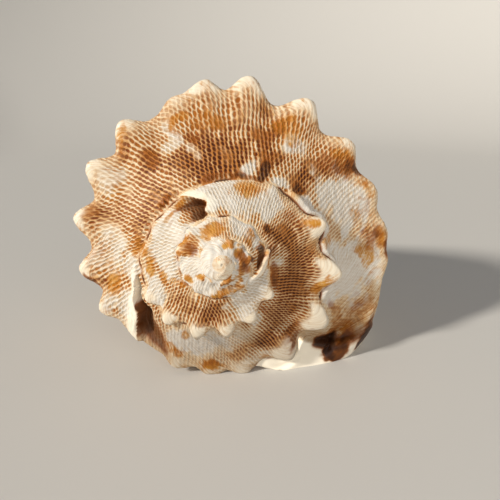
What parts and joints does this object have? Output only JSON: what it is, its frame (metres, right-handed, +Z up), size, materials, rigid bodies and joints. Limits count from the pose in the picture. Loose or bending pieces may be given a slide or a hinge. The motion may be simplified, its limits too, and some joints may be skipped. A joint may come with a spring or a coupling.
{
  "type": "helmet shell",
  "caption": "Heavy knobbed helmet sea shell with a low coiled spire, broad body whorl, thick flat lip to lie on, narrow aperture and short upturned canal.",
  "frame": {"origin": "middle of the shell's outline seen from above, on the surface that the shell rests on", "axes": "+Z up with the shell lying on its lip, -Y towards the tip of the spire, +Y towards the front of the canal, +X towards the outer lip"},
  "size_m": [0.123, 0.151, 0.1146],
  "materials": {
    "shell": "soft natural gloss"
  },
  "bodies": {
    "root": {"shell": "shell"}
  },
  "joints": []
}
